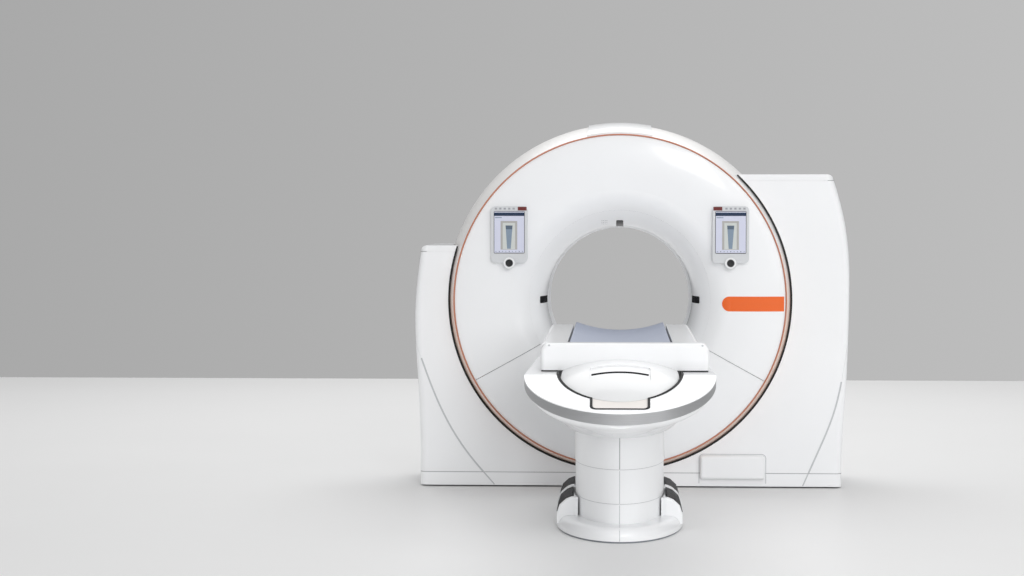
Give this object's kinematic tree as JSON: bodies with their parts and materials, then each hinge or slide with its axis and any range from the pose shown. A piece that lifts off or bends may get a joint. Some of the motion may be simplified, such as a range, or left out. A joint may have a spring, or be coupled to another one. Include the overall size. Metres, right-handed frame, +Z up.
{
  "type": "ct scanner",
  "caption": "Floor-standing CT scanner: a tilting drum with a patient bore between cabinets, and a patient table that rises, lowers and slides into the bore.",
  "frame": {"origin": "on the floor, straight below the isocentre where the tilt axis meets the bore's axis", "axes": "+Z up, +X to the right seen from the table's foot end, +Y from the table into the bore"},
  "size_m": [2.3645, 3.4634, 1.9919],
  "materials": {
    "cover_white": "moulded covers, satin gloss white",
    "rim_grey": "moulded, warm pale grey",
    "tunnel_white": "moulded tunnel, satin",
    "window_film": "thin translucent polyester window",
    "accent_orange": "orange lacquer",
    "insert_white": "warm white moulded",
    "dark_glass": "dark tinted glass",
    "knob_black": "black moulded, fine texture",
    "pedal_rubber": "black moulded rubber",
    "mat_blue": "coated foam mat, blue grey",
    "cradle_composite": "carbon fibre laminate",
    "band_aluminium": "brushed",
    "frame_steel": "grey powder coat",
    "bright_steel": "machined",
    "stator_casting": "cast and machined",
    "slip_brass": "turned tracks",
    "unit_metal": "painted cases"
  },
  "bodies": {
    "gantry": {"base_frame": "frame_steel", "levelling_feet": "bright_steel", "tilt_stands": "frame_steel", "trunnion_bearings": "bright_steel", "tilt_gearmotor": "frame_steel", "left_cap": "cover_white", "right_cap": "cover_white", "plinth": "cover_white", "front_surround": "cover_white", "rear_surround": "cover_white", "left_side_cover": "cover_white", "right_side_cover": "cover_white", "access_cover": "cover_white", "table_base_plate": "frame_steel", "base_cover": "cover_white", "pedal_guards": "cover_white", "mast_stage_1": "bright_steel", "lower_sleeve": "cover_white"},
    "drum": {"stator_frame": "stator_casting", "bearing_outer_ring": "bright_steel", "rim_cover": "rim_grey", "rim_cap": "cover_white", "accent_ring": "accent_orange", "front_cover_upper": "cover_white", "front_cover_lower": "cover_white", "bore_mouth_ring": "cover_white", "laser_windows": "dark_glass", "name_strip": "accent_orange", "left_panel": "cover_white", "right_panel": "cover_white", "touch_screens": "dark_glass", "rear_cover": "cover_white", "bore_tunnel": "tunnel_white", "scan_window": "window_film"},
    "rotor": {"rotor_plate": "frame_steel", "bearing_inner_ring": "bright_steel", "slip_ring": "slip_brass", "xray_tube": "unit_metal", "collimator": "unit_metal", "detector_arc": "unit_metal", "high_voltage_generator": "unit_metal", "tube_cooler": "unit_metal", "counterweight": "frame_steel"},
    "left_button": {"left_knob": "knob_black"},
    "right_button": {"right_knob": "knob_black"},
    "middle_column": {"middle_sleeve": "cover_white"},
    "upper_column": {"upper_sleeve": "cover_white", "mast_stage_2": "bright_steel"},
    "carrier": {"carrier_cover": "cover_white", "carrier_frame": "frame_steel", "trim_band": "band_aluminium", "carrier_insert": "insert_white", "deck": "cover_white", "end_cover": "cover_white"},
    "tabletop": {"tabletop_cradle": "cradle_composite", "mat": "mat_blue"},
    "treadle_left_front": {"left_front_pedal": "pedal_rubber"},
    "treadle_left_rear": {"left_rear_pedal": "pedal_rubber"},
    "treadle_right_front": {"right_front_pedal": "pedal_rubber"},
    "treadle_right_rear": {"right_rear_pedal": "pedal_rubber"}
  },
  "joints": [
    {"name": "gantry_tilt", "type": "hinge", "parent": "gantry", "child": "drum", "pos_m": [0, 0, 1.02], "axis": [1, 0, 0], "range_deg": [-30, 30]},
    {"name": "rotor_spin", "type": "hinge", "parent": "drum", "child": "rotor", "pos_m": [0, 0.1, 1.02], "axis": [0, 1, 0], "continuous": true},
    {"name": "table_lift", "type": "slide", "parent": "gantry", "child": "carrier", "axis": [0, 0, 1], "range_m": [-0.3, 0]},
    {"name": "upper_sleeve_slide", "type": "slide", "parent": "gantry", "child": "upper_column", "axis": [0, 0, 1], "range_m": [-0.2, 0]},
    {"name": "middle_sleeve_slide", "type": "slide", "parent": "gantry", "child": "middle_column", "axis": [0, 0, 1], "range_m": [-0.075, 0]},
    {"name": "tabletop_feed", "type": "slide", "parent": "carrier", "child": "tabletop", "axis": [0, 1, 0], "range_m": [0, 1.35]},
    {"name": "left_knob_press", "type": "slide", "parent": "drum", "child": "left_button", "axis": [0, 1, 0], "range_m": [0, 0.004], "stiffness_N_per_m": 800, "springref_m": -0.002},
    {"name": "right_knob_press", "type": "slide", "parent": "drum", "child": "right_button", "axis": [0, 1, 0], "range_m": [0, 0.004], "stiffness_N_per_m": 800, "springref_m": -0.002},
    {"name": "left_front_press", "type": "hinge", "parent": "gantry", "child": "treadle_left_front", "pos_m": [-0.226, -1.65, 0.155], "axis": [0, -1, 0], "range_deg": [0, 8], "stiffness_Nm_per_rad": 40, "springref_deg": -4.58},
    {"name": "left_rear_press", "type": "hinge", "parent": "gantry", "child": "treadle_left_rear", "pos_m": [-0.226, -1.23, 0.155], "axis": [0, -1, 0], "range_deg": [0, 8], "stiffness_Nm_per_rad": 40, "springref_deg": -4.58},
    {"name": "right_front_press", "type": "hinge", "parent": "gantry", "child": "treadle_right_front", "pos_m": [0.226, -1.65, 0.155], "axis": [0, 1, 0], "range_deg": [0, 8], "stiffness_Nm_per_rad": 40, "springref_deg": -4.58},
    {"name": "right_rear_press", "type": "hinge", "parent": "gantry", "child": "treadle_right_rear", "pos_m": [0.226, -1.23, 0.155], "axis": [0, 1, 0], "range_deg": [0, 8], "stiffness_Nm_per_rad": 40, "springref_deg": -4.58}
  ],
  "couplings": [
    {"joint": "upper_sleeve_slide", "follows": "table_lift", "ratio": 0.66},
    {"joint": "middle_sleeve_slide", "follows": "table_lift", "ratio": 0.245}
  ]
}
